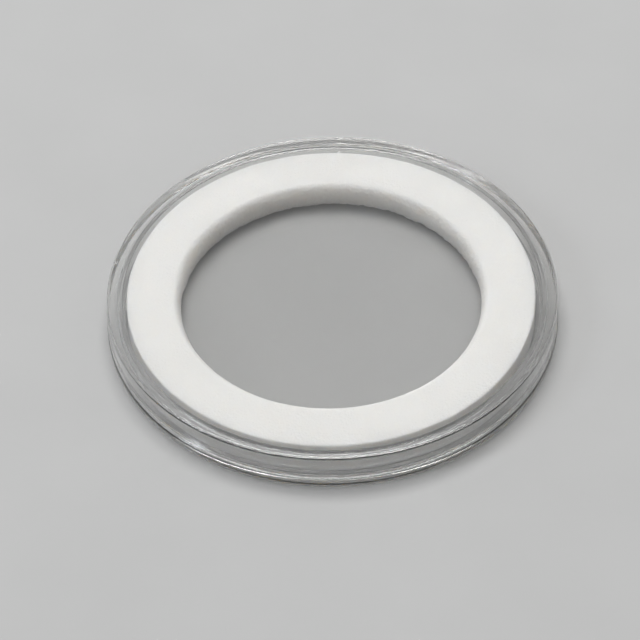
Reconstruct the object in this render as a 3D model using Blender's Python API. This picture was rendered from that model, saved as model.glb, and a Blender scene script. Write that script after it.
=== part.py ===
"""Coin capsule: a clear flanged base, a clear press-fit lid and a white foam ring that centres the coin.

Metres, +Z up. The origin is on the capsule's axis, at the underside of the base.
"""

import math

import bmesh
import bpy

MM = 0.001

# Foam ring: it sets every other size.
RING_OUTER_R = 25.0 * MM
RING_HOLE_R = 18.7 * MM
RING_THICKNESS = 3.1 * MM

# Clear mouldings.
FLOOR = 0.8 * MM  # thickness of the base's floor
LID_PLATE = 0.85 * MM  # thickness of the lid's flat top
UPSTAND_WALL = 0.57 * MM
SKIRT_WALL = 1.25 * MM
RING_SLACK = 0.65 * MM  # radial room around the ring, inside the upstand
FIT_GAP = 0.08 * MM  # running gap between the faces that grip or meet on the real capsule
RING_GAP = 0.05 * MM  # room above and below the ring, which the real capsule holds lightly squeezed
LEDGE = 0.15 * MM  # how far the flange stands out past the lid's skirt
FLANGE_HEIGHT = 1.25 * MM
FLANGE_ROUND = 0.5 * MM  # rounding of the flange's upper rim
FOOT_ROUND = 0.25 * MM  # rounding of its lower rim
LID_ROUND = 0.5 * MM  # rounding around the top of the lid
SKIRT_ROUND = 0.5 * MM  # rounding of the skirt's lower rim, which leaves a groove above the flange
LIP_CHAMFER = 0.12 * MM  # chamfer on the upstand's free edge and inside the skirt's

# Worked out from the sizes above.
UPSTAND_INNER_R = RING_OUTER_R + RING_SLACK
UPSTAND_OUTER_R = UPSTAND_INNER_R + UPSTAND_WALL
SKIRT_INNER_R = UPSTAND_OUTER_R + FIT_GAP
SKIRT_OUTER_R = SKIRT_INNER_R + SKIRT_WALL
FLANGE_R = SKIRT_OUTER_R + LEDGE
RING_BOTTOM = FLOOR + RING_GAP
RING_TOP = RING_BOTTOM + RING_THICKNESS
LID_UNDERSIDE = RING_TOP + RING_GAP
LID_TOP = LID_UNDERSIDE + LID_PLATE
UPSTAND_TOP = LID_UNDERSIDE - FIT_GAP
SKIRT_BOTTOM = FLANGE_HEIGHT + FIT_GAP

# Roundness: the parts share one set of facets, so their fits stay even all round.
SEGMENTS = 96
ROUND_STEPS = 3
MERGE_DISTANCE = 0.001 * MM
SHARP_ANGLE = math.radians(30)


def clear_scene():
    for obj in list(bpy.data.objects):
        bpy.data.objects.remove(obj, do_unlink=True)


def material(name, colour, roughness, transmission=0.0, ior=1.5):
    mat = bpy.data.materials.new(name)
    mat.use_nodes = True
    shader = mat.node_tree.nodes["Principled BSDF"]
    shader.inputs["Base Color"].default_value = (*colour, 1.0)
    shader.inputs["Roughness"].default_value = roughness
    shader.inputs["Metallic"].default_value = 0.0
    shader.inputs["Transmission Weight"].default_value = transmission
    shader.inputs["IOR"].default_value = ior
    return mat


def rounded_corner(corner_r, corner_z, radius, start_degrees, end_degrees):
    """Points of an arc that rounds an outer corner, from its start angle to its end angle.

    corner_r and corner_z are where the two faces would meet. On the arc, 90 degrees is its top, 0 its
    outermost point and -90 its bottom.
    """
    centre_r = corner_r - radius
    centre_z = corner_z - math.copysign(radius, start_degrees + end_degrees)
    points = []
    for i in range(ROUND_STEPS + 1):
        angle = math.radians(start_degrees + (end_degrees - start_degrees) * i / ROUND_STEPS)
        points.append((centre_r + radius * math.cos(angle), centre_z + radius * math.sin(angle)))
    return points


def turned(name, outline, mat, closed=False):
    """A solid of revolution about Z. The outline runs down its outer side, from top to bottom."""
    mesh = bpy.data.meshes.new(name)
    bm = bmesh.new()
    verts = [bm.verts.new((r, 0.0, z)) for r, z in outline]
    for a, b in zip(verts, verts[1:]):
        bm.edges.new((a, b))
    if closed:
        bm.edges.new((verts[-1], verts[0]))
    bm.to_mesh(mesh)
    bm.free()
    mesh.materials.append(mat)
    obj = bpy.data.objects.new(name, mesh)
    bpy.context.scene.collection.objects.link(obj)
    screw = obj.modifiers.new("turn", "SCREW")
    screw.axis = "Z"
    screw.angle = 2.0 * math.pi
    screw.steps = SEGMENTS
    screw.render_steps = SEGMENTS
    screw.use_merge_vertices = True
    screw.merge_threshold = MERGE_DISTANCE
    screw.use_smooth_shade = True
    bpy.context.view_layer.objects.active = obj
    obj.select_set(True)
    bpy.ops.object.modifier_apply(modifier=screw.name)
    obj.data.set_sharp_from_angle(angle=SHARP_ANGLE)
    obj.select_set(False)
    return obj


def make_base():
    """Floor, upstand that the lid's skirt closes over, and the flange that the skirt comes down on."""
    outline = [
        (0.0, FLOOR),
        (UPSTAND_INNER_R, FLOOR),
        (UPSTAND_INNER_R, UPSTAND_TOP - LIP_CHAMFER),
        (UPSTAND_INNER_R + LIP_CHAMFER, UPSTAND_TOP),
        (UPSTAND_OUTER_R - LIP_CHAMFER, UPSTAND_TOP),
        (UPSTAND_OUTER_R, UPSTAND_TOP - LIP_CHAMFER),
        (UPSTAND_OUTER_R, FLANGE_HEIGHT),
    ]
    outline += rounded_corner(FLANGE_R, FLANGE_HEIGHT, FLANGE_ROUND, 90, 0)
    outline += rounded_corner(FLANGE_R, 0.0, FOOT_ROUND, 0, -90)
    outline.append((0.0, 0.0))
    mat = material("base_clear_acrylic", (0.93, 0.94, 0.94), 0.04, transmission=1.0, ior=1.49)
    return turned("base", outline, mat)


def make_lid():
    """Flat top with a thin skirt that grips the outside of the base's upstand."""
    outline = [(0.0, LID_TOP)]
    outline += rounded_corner(SKIRT_OUTER_R, LID_TOP, LID_ROUND, 90, 0)
    outline += rounded_corner(SKIRT_OUTER_R, SKIRT_BOTTOM, SKIRT_ROUND, 0, -90)
    outline += [
        (SKIRT_INNER_R + LIP_CHAMFER, SKIRT_BOTTOM),
        (SKIRT_INNER_R, SKIRT_BOTTOM + LIP_CHAMFER),
        (SKIRT_INNER_R, LID_UNDERSIDE),
        (0.0, LID_UNDERSIDE),
    ]
    mat = material("lid_clear_acrylic", (0.93, 0.94, 0.94), 0.04, transmission=1.0, ior=1.49)
    return turned("lid", outline, mat)


def make_foam_ring():
    """Flat ring cut from sheet foam, held between the floor and the lid."""
    outline = [
        (RING_HOLE_R, RING_TOP),
        (RING_OUTER_R, RING_TOP),
        (RING_OUTER_R, RING_BOTTOM),
        (RING_HOLE_R, RING_BOTTOM),
    ]
    mat = material("white_closed_cell_foam", (0.86, 0.86, 0.84), 0.95)
    return turned("foam_ring", outline, mat, closed=True)


def main():
    clear_scene()
    make_base()
    make_lid()
    make_foam_ring()


main()
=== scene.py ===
"""Looks of the coin capsule: clear base and lid, white foam ring, camera, floor and soft light.

Everything is in metres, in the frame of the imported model: +Z up, the origin under the middle of the base.
The clear mouldings and the ring are turned outlines, with small marks of moulding and handling worked in.
"""

import math

import bmesh
import bpy
from mathutils import Matrix, Vector, noise


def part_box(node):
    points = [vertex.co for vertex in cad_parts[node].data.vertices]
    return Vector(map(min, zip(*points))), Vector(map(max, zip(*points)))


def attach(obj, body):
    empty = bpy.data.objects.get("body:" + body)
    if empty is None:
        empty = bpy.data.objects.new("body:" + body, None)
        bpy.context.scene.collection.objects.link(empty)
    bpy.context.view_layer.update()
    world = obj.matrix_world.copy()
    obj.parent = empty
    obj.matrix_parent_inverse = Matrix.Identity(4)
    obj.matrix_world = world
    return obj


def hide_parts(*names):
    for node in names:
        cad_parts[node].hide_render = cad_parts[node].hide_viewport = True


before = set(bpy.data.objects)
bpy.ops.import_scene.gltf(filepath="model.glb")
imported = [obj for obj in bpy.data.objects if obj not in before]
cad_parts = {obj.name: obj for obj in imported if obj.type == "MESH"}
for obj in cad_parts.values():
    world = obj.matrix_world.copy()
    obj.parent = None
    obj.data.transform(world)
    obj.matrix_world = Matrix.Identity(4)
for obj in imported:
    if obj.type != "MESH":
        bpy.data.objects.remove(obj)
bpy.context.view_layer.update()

MM = 0.001

# Sizes that the frame's boxes give.
_, base_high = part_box("base")
lid_low, lid_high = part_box("lid")
ring_low, ring_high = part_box("foam_ring")
FLANGE_R = base_high.x
SKIRT_R = lid_high.x
RING_R = ring_high.x
CAPSULE_TOP = lid_high.z
UPSTAND_TOP = base_high.z
RING_TOP = ring_high.z
SKIRT_BOTTOM = lid_low.z
RING_PRESS = 0.06 * MM  # the ring sinks this far below its solid, to lie pressed on the floor of the base
RING_BOTTOM = ring_low.z - RING_PRESS

# Sizes inside the parts, as in the CAD model.
RING_HOLE_R = 18.7 * MM
FLOOR = 0.8 * MM
LID_PLATE = 0.85 * MM
SKIRT_WALL = 1.25 * MM
UPSTAND_WALL = 0.57 * MM
FIT_GAP = 0.08 * MM
FLANGE_TOP = SKIRT_BOTTOM - FIT_GAP
LID_UNDERSIDE = CAPSULE_TOP - LID_PLATE
SKIRT_INNER_R = SKIRT_R - SKIRT_WALL
UPSTAND_OUTER_R = SKIRT_INNER_R - FIT_GAP
UPSTAND_INNER_R = UPSTAND_OUTER_R - UPSTAND_WALL

# Edge roundings of the mouldings.
LID_ROUND = 0.4 * MM
SKIRT_ROUND = 0.5 * MM
FLANGE_ROUND = 0.6 * MM
FOOT_ROUND = 0.2 * MM
FLOOR_FILLET = 0.3 * MM
LIP_ROUND = 0.08 * MM

# Circles added to the lid's plate, this far in from the skirt's face, keep the rim's marks off the plate.
PLATE_SUPPORTS = (2 * MM, LID_ROUND + 0.2 * MM)

RING_SHIFT = (-0.13 * MM, 0.02 * MM)  # it lies a little to one side of the capsule's middle
HOLE_BULGE = 0.25 * MM  # the squeezed wall of the hole swells this far inwards
HOLE_SHOULDER = (1.0 * MM, 1.7 * MM)  # run and drop of the soft curve from the top face to the swelling
HOLE_FLARE = 0.08 * MM  # the cut lower edge of the hole is this much wider, over the same height
OUTER_ROUND = 0.2 * MM

# Camera: the photograph's view. The lid's refraction lifts the ring's top to the height it looks at.
CAMERA_ELEVATION = math.radians(45.7)
CAMERA_DISTANCE = 373 * MM
CAMERA_LENS = 171.6  # mm, like the sensor's width
SENSOR_WIDTH = 36
CAMERA_CLIP = (0.01, 20)
CAMERA_ROLL = math.radians(1.52)
SEEN_RING_TOP = 4.35 * MM
AIM_LEFT = 1.46 * MM  # the view's centre lies this far left of the axis
AIM_DOWN = 3.39 * MM  # and this far below it

FLOOR_GREY = (0.55, 0.55, 0.545)
FLOOR_REACH = 1.5  # from its middle to each side
FLOOR_GAP = 0.02 * MM  # the capsule stands this far above it, so that the two faces don't coincide
SKY_STRENGTH = 0.36
DAYLIGHT = (0.88, 0.93, 1.0)

MOULDING_TURNS = 1080
RING_TURNS = 960
WALL_GRAIN = 0.19 * MM  # spacing of the ring's points down its walls
FACE_GRAIN = 0.36 * MM  # and across its flat faces
WALL_STEPS, SHOULDER_STEPS = 10, 12  # points up the swelling of its hole and round the shoulder
WIDE_ARC = 0.25 * MM  # arcs of this radius and more are stepped finely
FINE_STEP = math.radians(5)
COARSE_STEP = math.radians(15)
SUPPORT_REACH = 0.03 * MM  # how close the extra points lie to the ends of a straight
ON_AXIS = 1e-9  # a radius below this is a point on the axis

LID_LAMP_PASS = 0.42  # the share of a lamp's light that goes straight through one face
BASE_LAMP_PASS = 0.8


# ---------------------------------------------------------------- outlines

def rounded(corners):
    """An outline through corners (r, z, radius), with each corner rounded by an arc that fits it."""
    points = []
    for i, (r, z, radius) in enumerate(corners):
        if radius == 0:
            points.append((r, z))
            continue
        here = Vector((r, z))
        back = (Vector(corners[i - 1][:2]) - here).normalized()
        ahead = (Vector(corners[(i + 1) % len(corners)][:2]) - here).normalized()
        half = back.angle(ahead) / 2
        reach = radius / math.tan(half)
        centre = here + (back + ahead).normalized() * radius / math.sin(half)
        first, last = here + back * reach - centre, here + ahead * reach - centre
        turn = first.angle_signed(last)
        step = FINE_STEP if radius >= WIDE_ARC else COARSE_STEP
        count = max(3, math.ceil(abs(turn) / step))
        for k in range(count + 1):
            spoke = first.copy()
            spoke.rotate(Matrix.Rotation(-turn * k / count, 2))
            points.append((centre.x + spoke.x, centre.y + spoke.y))
    return points


def supported(points):
    """Adds a point close to each end of every long straight, so that smooth shading keeps it flat."""
    reach = SUPPORT_REACH
    out = [points[0]]
    for (r0, z0), (r1, z1) in zip(points, points[1:]):
        length = math.hypot(r1 - r0, z1 - z0)
        if length > 4 * reach:
            for t in (reach / length, 1 - reach / length):
                out.append((r0 + (r1 - r0) * t, z0 + (z1 - z0) * t))
        out.append((r1, z1))
    return out


def divided(points):
    """Divides every straight of a closed outline: finely down the walls, and less so along the faces."""
    out = []
    for (r0, z0), (r1, z1) in zip(points, points[1:] + points[:1]):
        spacing = FACE_GRAIN if abs(r1 - r0) > abs(z1 - z0) else WALL_GRAIN
        count = max(1, round(math.hypot(r1 - r0, z1 - z0) / spacing))
        out += [(r0 + (r1 - r0) * k / count, z0 + (z1 - z0) * k / count) for k in range(count)]
    return out


def lathe(name, outline, turns, warp, closed=False):
    """A smooth solid of revolution about +Z, made from an outline of points (r, z).

    warp(r, z, angle) returns a moved (r, z), for marks that aren't the same all round. An outline that
    isn't closed starts and ends on the axis.
    """
    bm = bmesh.new()
    rings = []
    for r, z in outline:
        if r < ON_AXIS:
            rings.append([bm.verts.new((0.0, 0.0, z))])
            continue
        ring = []
        for i in range(turns):
            a = 2 * math.pi * i / turns
            rr, zz = warp(r, z, a)
            ring.append(bm.verts.new((rr * math.cos(a), rr * math.sin(a), zz)))
        rings.append(ring)
    pairs = list(zip(rings, rings[1:]))
    if closed:
        pairs.append((rings[-1], rings[0]))
    for upper, lower in pairs:
        for i in range(turns):
            j = (i + 1) % turns
            if len(upper) == 1:
                bm.faces.new((upper[0], lower[i], lower[j]))
            elif len(lower) == 1:
                bm.faces.new((upper[i], lower[0], upper[j]))
            else:
                bm.faces.new((upper[i], lower[i], lower[j], upper[j]))
    mesh = bpy.data.meshes.new(name)
    bm.to_mesh(mesh)
    bm.free()
    mesh.shade_smooth()
    piece = bpy.data.objects.new(name, mesh)
    bpy.context.scene.collection.objects.link(piece)
    return piece


# ---------------------------------------------------------------- marks

def turn_from(angle, degrees):
    """How far an angle is from a bearing in degrees, in radians, from -pi to pi."""
    return (angle - math.radians(degrees) + math.pi) % (2 * math.pi) - math.pi


def bump_at(angle, bearing, r, width):
    """1 at a bearing, falling smoothly to 0 half a width to either side of it along the rim."""
    off = abs(turn_from(angle, bearing)) * r / (width / 2)
    return 0.0 if off >= 1 else 0.5 + 0.5 * math.cos(math.pi * off)


def band(value, low, high, soft):
    """1 between low and high, falling to 0 over a soft distance outside them."""
    rise = min(max((value - low + soft) / soft, 0.0), 1.0)
    fall = min(max((high + soft - value) / soft, 0.0), 1.0)
    return min(rise, fall)


# The waviness of a thin moulding: a slow and a quick one, each with its lobes and phase for each part.
SLOW_WAVE = 0.003 * MM
QUICK_WAVE = 0.001 * MM
BASE_WAVES = ((3, 0.6), (11, 0.0))
LID_WAVES = ((2, 1.1), (9, 2.0))
WAVE_FADE = 8  # the power at which it fades away from the rim

# Marks on the rim. Bearings are in degrees, and widths run along the rim.
GATE_BEARING = 86.5  # at the back of the capsule as it lies
SCAR_WIDTH, SCAR_DEPTH, SCAR_SINK = 1.3 * MM, 0.16 * MM, 0.05 * MM
SCAR_HEIGHT, SCAR_SOFT = 1.1 * MM, 0.3 * MM
NICK_BEARING = 168.0
NICK_WIDTH, NICK_DEPTH, NICK_SINK = 0.9 * MM, 0.12 * MM, 0.04 * MM
NICK_HEIGHT, NICK_SOFT = 0.35 * MM, 0.1 * MM
RIM_SOFT = 0.1 * MM
CHIP_BEARING = 208.5
CHIP_WIDTH, CHIP_DEPTH = 0.6 * MM, 0.12 * MM
CHIP_LOW, CHIP_HIGH, CHIP_SOFT = 2.5 * MM, 3.1 * MM, 0.2 * MM
SKIN, SKIN_SOFT = 0.01 * MM, 0.05 * MM  # what counts as the outermost face, and how softly that ends

# The foam's unevenness: each has a coarse size, a fine size and the weight of the fine one.
CELLS = (0.45 * MM, 0.22 * MM, 0.7)
WAVES = (3.1 * MM, 1.1 * MM, 0.5)
RAGS = (0.6 * MM, 0.3 * MM, 0.6)
RAG_SHIFT = Vector((9, 4, 2))

# How far it moves the foam's faces.
HOLE_WAVE, HOLE_GRAIN = 0.05 * MM, 0.07 * MM
OUTER_WAVE, OUTER_GRAIN = 0.04 * MM, 0.015 * MM
TOP_SINK, TOP_GRAIN = 0.01 * MM, 0.012 * MM
RAG_DEPTH = 0.2 * MM
EDGE = 0.02 * MM  # what counts as a face of the foam
NUB_WIDTH, NUB_LENGTH, NUB_HEIGHT = 0.8 * MM, 0.55 * MM, 0.9 * MM


def waviness(r, angle, rim, waves):
    (slow_lobes, slow_phase), (quick_lobes, quick_phase) = waves
    slow = SLOW_WAVE * math.sin(slow_lobes * angle + slow_phase)
    quick = QUICK_WAVE * math.sin(quick_lobes * angle + quick_phase)
    return (slow + quick) * (r / rim) ** WAVE_FADE


def warp_base(r, z, angle):
    """The slight unevenness of a thin moulding."""
    return r + waviness(r, angle, FLANGE_R, BASE_WAVES), z


def warp_lid(r, z, angle):
    """Gate scar, a nick and a chip on the lid's rim, and the slight unevenness of a thin moulding."""
    on_rim = band(r, SKIRT_R - LID_ROUND, SKIRT_R, RIM_SOFT)
    scar = bump_at(angle, GATE_BEARING, r, SCAR_WIDTH) * on_rim
    scar *= band(z, CAPSULE_TOP - SCAR_HEIGHT, CAPSULE_TOP, SCAR_SOFT)
    nick = bump_at(angle, NICK_BEARING, r, NICK_WIDTH) * on_rim
    nick *= band(z, CAPSULE_TOP - NICK_HEIGHT, CAPSULE_TOP, NICK_SOFT)
    chip = bump_at(angle, CHIP_BEARING, r, CHIP_WIDTH) * band(r, SKIRT_R - SKIN, SKIRT_R, SKIN_SOFT)
    chip *= band(z, CHIP_LOW, CHIP_HIGH, CHIP_SOFT)
    moved_r = r - SCAR_DEPTH * scar - NICK_DEPTH * nick - CHIP_DEPTH * chip
    return moved_r + waviness(r, angle, SKIRT_R, LID_WAVES), z - SCAR_SINK * scar - NICK_SINK * nick


def two_noises(spot, layers, shift=Vector((0, 0, 0))):
    coarse, fine, weight = layers
    return noise.noise(spot / coarse + shift) + weight * noise.noise(spot / fine)


def warp_ring(r, z, angle):
    """Cell grain on the foam, wavy walls, a ragged lower edge in the hole, and a nub outside."""
    spot = Vector((r * math.cos(angle), r * math.sin(angle), z))
    grain = two_noises(spot, CELLS)
    wave = two_noises(spot, WAVES)
    ragged = two_noises(spot, RAGS, RAG_SHIFT)

    in_hole = band(r, 0, RING_HOLE_R + EDGE, 0.3 * MM)
    outside = band(r, RING_R - EDGE, RING_R, 0.1 * MM)
    low_edge = in_hole * band(z, 0, RING_BOTTOM + 0.2 * MM, 0.4 * MM)
    on_top = band(z, RING_TOP - EDGE, RING_TOP, 0.2 * MM)
    nub = bump_at(angle, GATE_BEARING, r, NUB_WIDTH) * band(r, RING_R - SKIN, RING_R, SKIN_SOFT)
    nub *= band(z, RING_TOP - NUB_HEIGHT, RING_TOP - OUTER_ROUND, 0.2 * MM)

    moved_r = r + in_hole * (HOLE_WAVE * wave + HOLE_GRAIN * grain)
    moved_r += outside * (OUTER_WAVE * wave + OUTER_GRAIN * grain)
    moved_r += low_edge * RAG_DEPTH * ragged + NUB_LENGTH * nub
    return moved_r, z - on_top * (TOP_SINK + TOP_GRAIN * grain)


# ---------------------------------------------------------------- materials

ACRYLIC_TINT = (0.99, 0.99, 0.985)
ACRYLIC_IOR = 1.49
ACRYLIC_CLARITY = 0.985
SCUFF_BEARING = math.radians(-24)
SCUFF_SPAN = (math.radians(10), math.radians(17))  # to each side: at full strength, and to its end
SCUFF_ROUGHNESS = 0.18
SCUFF_RIM = (0.5 * MM, 0.2 * MM)  # how far in from the skirt's face it begins, and is at full strength
HAIRLINE_WIDTH = 0.012  # in noise values to each side of its middle
HAIRLINE_STRETCH = 0.045  # a line's grain along its length, as a share of the grain across it
HAIRLINE_ROUGHNESS = 0.16
HAIRLINE_DEPTH = 0.0003 * MM
SCUFF_DEPTH = 6.0  # in hairline depths
RIPPLE_HEIGHT = 0.0012 * MM

FOAM_TONES = ((0.825, 0.815, 0.793), (0.865, 0.856, 0.835))
# Greyer tone for the wall of the hole and its inner edge: partly the cut's own tone, partly painted shade
# of the hollow.
CUT_AND_SHADE_TONE = (0.83, 0.80, 0.76)
FOAM_GLOW = (1.0, 0.95, 0.86)  # how far each colour spreads inside the foam, in shares of the next
FOAM_GLOW_REACH = 2.4 * MM
FOAM_GLOW_SHARE = 0.7
CELL_DEPTH = 0.07 * MM

PAPER_CONTRAST = 0.015
TOOTH_DEPTH = 0.03 * MM
BUMP_STRENGTH = 0.6  # of the foam and the paper


def new_material(name):
    mat = bpy.data.materials.new(name)
    mat.use_nodes = True
    return mat, mat.node_tree.nodes["Principled BSDF"], Wiring(mat.node_tree)


class Wiring:
    """Adds and links shader nodes in one material."""

    def __init__(self, tree):
        self.tree = tree
        self.place = tree.nodes.new("ShaderNodeTexCoord").outputs["Object"]

    def link(self, source, target):
        self.tree.links.new(source, target)

    def node(self, kind, inputs=None, **settings):
        made = self.tree.nodes.new(kind)
        for key, value in settings.items():
            setattr(made, key, value)
        for key, value in (inputs or {}).items():
            if isinstance(value, bpy.types.NodeSocket):
                self.link(value, made.inputs[key])
            else:
                made.inputs[key].default_value = value
        return made

    def math(self, operation, a, b=0.0):
        return self.node("ShaderNodeMath", {0: a, 1: b}, operation=operation).outputs[0]

    def remap(self, value, low, high, to_low, to_high):
        made = self.node(
            "ShaderNodeMapRange",
            {"Value": value, "From Min": low, "From Max": high, "To Min": to_low, "To Max": to_high},
        )
        return made.outputs["Result"]

    def noise(self, scale, detail, seed, vector=None):
        moved = self.node(
            "ShaderNodeMapping", {"Vector": vector or self.place, "Location": (seed, seed * 0.7, -seed)})
        return self.node(
            "ShaderNodeTexNoise",
            {"Vector": moved.outputs[0], "Scale": scale, "Detail": detail},
        ).outputs["Fac"]

    def across(self):
        split = self.node("ShaderNodeSeparateXYZ", {"Vector": self.place})
        return split.outputs["X"], split.outputs["Y"]

    def radius(self):
        x, y = self.across()
        squares = self.math("ADD", self.math("MULTIPLY", x, x), self.math("MULTIPLY", y, y))
        return self.math("SQRT", squares)

    def bearing(self):
        x, y = self.across()
        return self.math("ARCTAN2", y, x)

    def relief(self, height, strength):
        """A normal for a height in metres."""
        bump = self.node("ShaderNodeBump", {"Height": height, "Distance": 1.0, "Strength": strength})
        return bump.outputs["Normal"]

    def two_tones(self, fac, low, low_colour, high, high_colour):
        ramp = self.node("ShaderNodeValToRGB", {"Fac": fac})
        first, last = ramp.color_ramp.elements
        first.position, first.color = low, (*low_colour, 1)
        last.position, last.color = high, (*high_colour, 1)
        return ramp.outputs["Color"]

    def scratches(self, heading, scale, seed):
        """Thin, broken hairlines along one heading: 1 on a line and 0 off it."""
        turned = self.node(
            "ShaderNodeMapping",
            {"Vector": self.place, "Rotation": (0, 0, heading), "Scale": (HAIRLINE_STRETCH, 1.0, 0.0)},
        ).outputs[0]
        lines = self.noise(scale, 1.0, seed, vector=turned)
        off_line = self.math("ABSOLUTE", self.math("SUBTRACT", lines, 0.5))
        line = self.remap(off_line, 0.0, HAIRLINE_WIDTH, 1.0, 0.0)
        patches = self.remap(self.noise(120.0, 1.0, seed + 5), 0.56, 0.66, 0.0, 1.0)
        return self.math("MULTIPLY", line, patches)


def clear_acrylic(name, seed, lamp_pass, scuffed):
    """Clear moulded acrylic: faint flow ripple, hairline scratches and scuffs (0 to 1) on the rim."""
    mat, shader, w = new_material(name)
    shader.inputs["Base Color"].default_value = (*ACRYLIC_TINT, 1)
    shader.inputs["Transmission Weight"].default_value = ACRYLIC_CLARITY
    shader.inputs["IOR"].default_value = ACRYLIC_IOR

    radius = w.radius()
    on_rim = w.remap(radius, SKIRT_R - SCUFF_RIM[0], SKIRT_R - SCUFF_RIM[1], 0.0, 1.0)
    off_scuff = w.math("ABSOLUTE", w.math("SUBTRACT", w.bearing(), SCUFF_BEARING))
    at_scuff = w.remap(off_scuff, *SCUFF_SPAN, 1.0, 0.0)
    scuff_grain = w.remap(w.noise(2600.0, 3.0, seed), 0.52, 0.62, 0.0, 1.0)
    scuff = w.math("MULTIPLY", w.math("MULTIPLY", on_rim, at_scuff), scuff_grain)

    on_plate = w.remap(radius, RING_R, RING_R + 0.5 * MM, 1.0, 0.0)
    hairlines = w.math("MAXIMUM", w.scratches(0.12, 900.0, seed + 1), w.scratches(-0.9, 700.0, seed + 2))
    hairlines = w.math("MULTIPLY", hairlines, on_plate)
    marks = w.math(
        "ADD",
        w.math("MULTIPLY", hairlines, HAIRLINE_ROUGHNESS),
        w.math("MULTIPLY", scuff, SCUFF_ROUGHNESS * scuffed))
    w.link(marks, shader.inputs["Roughness"])

    ripple = w.math("MULTIPLY", w.noise(160.0, 1.0, seed + 4), RIPPLE_HEIGHT)
    cuts = w.math("ADD", hairlines, w.math("MULTIPLY", scuff, SCUFF_DEPTH * scuffed))
    height = w.math("ADD", ripple, w.math("MULTIPLY", cuts, -HAIRLINE_DEPTH))
    w.link(w.relief(height, 1.0), shader.inputs["Normal"])

    # Lamps shine through the clear walls, so that the foam and the floor behind them are lit.
    rays = w.node("ShaderNodeLightPath")
    passed = w.node("ShaderNodeBsdfTransparent", {"Color": (lamp_pass, lamp_pass, lamp_pass, 1)})
    mixed = w.node(
        "ShaderNodeMixShader",
        {0: rays.outputs["Is Shadow Ray"], 1: shader.outputs["BSDF"], 2: passed.outputs["BSDF"]})
    w.link(mixed.outputs["Shader"], mat.node_tree.nodes["Material Output"].inputs["Surface"])
    return mat


def white_foam():
    """White closed-cell foam: fine cells, soft light inside, and a speckled greyer wall in the hole, partly
    the cut's own tone and partly painted shade.
    """
    mat, shader, w = new_material("white_closed_cell_foam")
    shader.inputs["Subsurface Weight"].default_value = FOAM_GLOW_SHARE
    shader.inputs["Subsurface Radius"].default_value = FOAM_GLOW
    shader.inputs["Subsurface Scale"].default_value = FOAM_GLOW_REACH
    shader.inputs["Specular IOR Level"].default_value = 0.25
    shader.inputs["Sheen Weight"].default_value = 0.08

    cells = w.node("ShaderNodeTexVoronoi", {"Vector": w.place, "Scale": 3400.0}).outputs["Distance"]
    coarse = w.noise(2400.0, 3.0, 2.0)
    mottle = w.noise(230.0, 3.0, 7.0)
    tone = w.math("ADD", w.math("MULTIPLY", coarse, 0.5), w.math("MULTIPLY", mottle, 0.5))
    body = w.two_tones(tone, 0.3, FOAM_TONES[0], 0.65, FOAM_TONES[1])

    # Painted shade, partly a greyer cut: the hole's wall and the edge above it are darkened in speckles
    # towards the inside.
    at_cut_and_shade = w.remap(w.radius(), RING_HOLE_R - 0.05 * MM, RING_HOLE_R + 0.35 * MM, 1.0, 0.0)
    speckle = w.remap(w.noise(3200.0, 2.0, 4.0), 0.38, 0.62, 0.0, 1.0)
    cut_and_shade_mix = w.node(
        "ShaderNodeMix",
        {"Factor": w.math("MULTIPLY", at_cut_and_shade, speckle), "A": body, "B": (*CUT_AND_SHADE_TONE, 1)},
        data_type="RGBA")
    w.link(cut_and_shade_mix.outputs["Result"], shader.inputs["Base Color"])
    w.link(w.remap(coarse, 0.3, 0.7, 0.82, 0.98), shader.inputs["Roughness"])

    height = w.math("ADD", w.math("MULTIPLY", cells, CELL_DEPTH), w.math("MULTIPLY", coarse, CELL_DEPTH))
    w.link(w.relief(height, BUMP_STRENGTH), shader.inputs["Normal"])
    return mat


def floor_paper():
    """Pale matte backdrop paper with a faint tooth."""
    mat, shader, w = new_material("floor_paper")
    darker, lighter = (tuple(c * k for c in FLOOR_GREY) for k in (1 - PAPER_CONTRAST, 1 + PAPER_CONTRAST))
    w.link(w.two_tones(w.noise(60.0, 4.0, 3.0), 0.3, darker, 0.7, lighter), shader.inputs["Base Color"])
    shader.inputs["Roughness"].default_value = 0.85
    shader.inputs["Specular IOR Level"].default_value = 0.2
    tooth = w.math("MULTIPLY", w.noise(900.0, 3.0, 8.0), TOOTH_DEPTH)
    w.link(w.relief(tooth, BUMP_STRENGTH), shader.inputs["Normal"])
    return mat


# ---------------------------------------------------------------- pieces

def finish_piece(piece, mat, node):
    """The piece stands for a node of the same name as its body."""
    piece.data.materials.append(mat)
    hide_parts(node)
    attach(piece, node)


def make_base():
    outline = rounded([
        (0.0, FLOOR, 0),
        (UPSTAND_INNER_R, FLOOR, FLOOR_FILLET),
        (UPSTAND_INNER_R, UPSTAND_TOP, LIP_ROUND),
        (UPSTAND_OUTER_R, UPSTAND_TOP, LIP_ROUND),
        (UPSTAND_OUTER_R, FLANGE_TOP, LIP_ROUND),
        (FLANGE_R, FLANGE_TOP, FLANGE_ROUND),
        (FLANGE_R, 0.0, FOOT_ROUND),
        (0.0, 0.0, 0),
    ])
    piece = lathe("base_moulding", supported(outline), MOULDING_TURNS, warp_base)
    mat = clear_acrylic("base_acrylic", 11.0, BASE_LAMP_PASS, scuffed=0.0)
    finish_piece(piece, mat, "base")


def make_lid():
    outline = rounded([
        (0.0, CAPSULE_TOP, 0),
        *((SKIRT_R - inset, CAPSULE_TOP, 0) for inset in PLATE_SUPPORTS),
        (SKIRT_R, CAPSULE_TOP, LID_ROUND),
        (SKIRT_R, SKIRT_BOTTOM, SKIRT_ROUND),
        (SKIRT_INNER_R, SKIRT_BOTTOM, LIP_ROUND),
        (SKIRT_INNER_R, LID_UNDERSIDE, LIP_ROUND),
        (0.0, LID_UNDERSIDE, 0),
    ])
    piece = lathe("lid_moulding", supported(outline), MOULDING_TURNS, warp_lid)
    mat = clear_acrylic("lid_acrylic", 3.0, LID_LAMP_PASS, scuffed=1.0)
    finish_piece(piece, mat, "lid")


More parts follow.
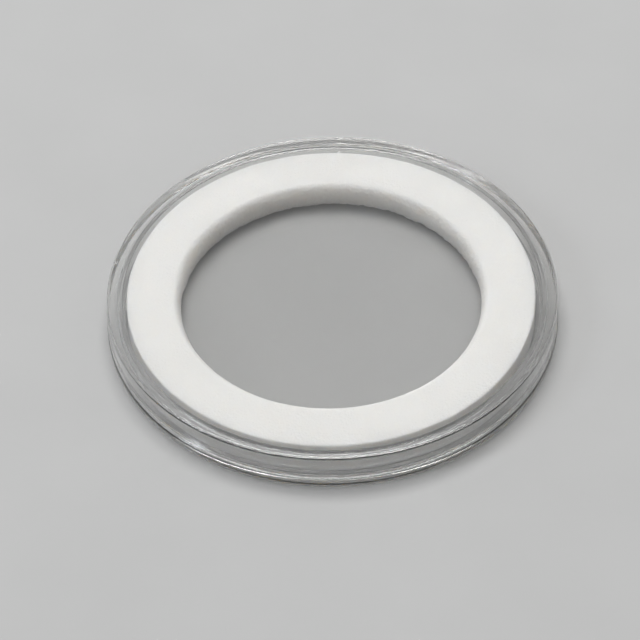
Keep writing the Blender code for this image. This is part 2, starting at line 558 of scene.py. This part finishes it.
def hole_wall():
    """The wall of the ring's hole from the bottom up: a cut edge, a swelling and a soft shoulder."""
    run, drop = HOLE_SHOULDER
    waist_r, waist_z = RING_HOLE_R - HOLE_BULGE, RING_TOP - drop
    cut_z = RING_BOTTOM + HOLE_FLARE
    points = [(RING_HOLE_R + HOLE_FLARE, RING_BOTTOM)]
    for k in range(WALL_STEPS):
        t = k / WALL_STEPS
        wall_r = RING_HOLE_R - HOLE_BULGE * math.sin(t * math.pi / 2)
        points.append((wall_r, cut_z + (waist_z - cut_z) * t))
    for k in range(SHOULDER_STEPS + 1):
        a = math.pi / 2 * k / SHOULDER_STEPS
        points.append((waist_r + run * (1 - math.cos(a)), waist_z + drop * math.sin(a)))
    return points


def make_ring():
    outside = rounded([
        (RING_R, RING_TOP, OUTER_ROUND),
        (RING_R, RING_BOTTOM, OUTER_ROUND),
        (RING_HOLE_R, RING_BOTTOM, 0),
        (RING_HOLE_R, RING_TOP, 0),
    ])[:-2]  # hole_wall() takes the place of the last two
    outline = divided(outside + hole_wall())
    piece = lathe("foam_ring_soft", outline, RING_TURNS, warp_ring, closed=True)
    piece.location = (*RING_SHIFT, 0)
    finish_piece(piece, white_foam(), "foam_ring")


# ---------------------------------------------------------------- set

def make_camera():
    side = Vector((1, 0, 0))
    towards = Vector((0, -math.cos(CAMERA_ELEVATION), math.sin(CAMERA_ELEVATION)))
    upward = towards.cross(side)
    right = side * math.cos(CAMERA_ROLL) - upward * math.sin(CAMERA_ROLL)
    up = side * math.sin(CAMERA_ROLL) + upward * math.cos(CAMERA_ROLL)
    subject = Vector((0, 0, SEEN_RING_TOP))
    place = subject + towards * CAMERA_DISTANCE
    aim = subject - right * AIM_LEFT - up * AIM_DOWN
    back = (place - aim).normalized()
    right = (right - back * right.dot(back)).normalized()
    turn = Matrix((right, back.cross(right), back)).transposed()
    data = bpy.data.cameras.new("camera")
    data.sensor_width = SENSOR_WIDTH
    data.lens = CAMERA_LENS
    data.clip_start, data.clip_end = CAMERA_CLIP
    camera = bpy.data.objects.new("camera", data)
    camera.matrix_world = Matrix.LocRotScale(place, turn.to_quaternion(), None)
    bpy.context.scene.collection.objects.link(camera)
    bpy.context.scene.camera = camera


def make_floor():
    bm = bmesh.new()
    bmesh.ops.create_grid(bm, x_segments=1, y_segments=1, size=FLOOR_REACH)
    mesh = bpy.data.meshes.new("floor")
    bm.to_mesh(mesh)
    bm.free()
    floor = bpy.data.objects.new("floor", mesh)
    floor.location.z = -FLOOR_GAP
    bpy.context.scene.collection.objects.link(floor)
    floor.data.materials.append(floor_paper())


def softbox(name, place, width, depth, power, colour=(1, 1, 1)):
    """A rectangular lamp that faces the origin."""
    data = bpy.data.lights.new(name, "AREA")
    data.shape = "RECTANGLE"
    data.size, data.size_y = width, depth
    data.energy = power
    data.color = colour
    light = bpy.data.objects.new(name, data)
    light.location = place
    light.rotation_euler = Vector(place).to_track_quat("Z", "Y").to_euler()
    bpy.context.scene.collection.objects.link(light)


def make_lights():
    softbox("softbox_above", (-0.05, 0.34, 0.95), width=0.64, depth=0.37, power=6.5)
    softbox("window_left", (-0.9, -0.25, 0.75), width=0.14, depth=0.36, power=1.7, colour=DAYLIGHT)
    world = bpy.data.worlds.new("studio")
    world.use_nodes = True
    sky = world.node_tree.nodes["Background"]
    sky.inputs["Color"].default_value = (1, 1, 1, 1)
    sky.inputs["Strength"].default_value = SKY_STRENGTH
    bpy.context.scene.world = world
    bpy.context.scene.view_settings.view_transform = "Standard"


make_camera()
make_floor()
make_lights()
make_base()
make_lid()
make_ring()
